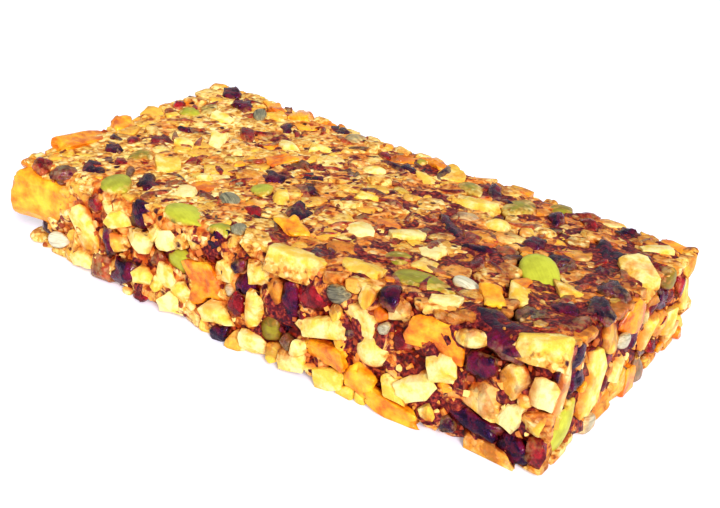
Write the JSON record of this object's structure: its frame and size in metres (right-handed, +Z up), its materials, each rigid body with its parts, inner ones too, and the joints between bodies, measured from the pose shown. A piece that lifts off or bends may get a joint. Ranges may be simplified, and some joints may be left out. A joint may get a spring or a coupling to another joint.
{
  "type": "fruit and nut bar",
  "caption": "Pressed and cut snack bar of chopped nuts, pumpkin and sunflower seeds and dried fruit in a sticky binder, with a flat top, rough cut sides and one crumbled corner.",
  "frame": {"origin": "middle of the outer box, on the plane of the underside that the bar lies on", "axes": "+X along the bar's length, towards the cut end that the picture shows; +Y from the front side to the back side; +Z up, out of the pressed top"},
  "size_m": [0.1028, 0.054, 0.0198],
  "materials": {
    "pressed_mix": null
  },
  "bodies": {
    "root": {"fruit_nut_bar": "pressed_mix"}
  },
  "joints": []
}
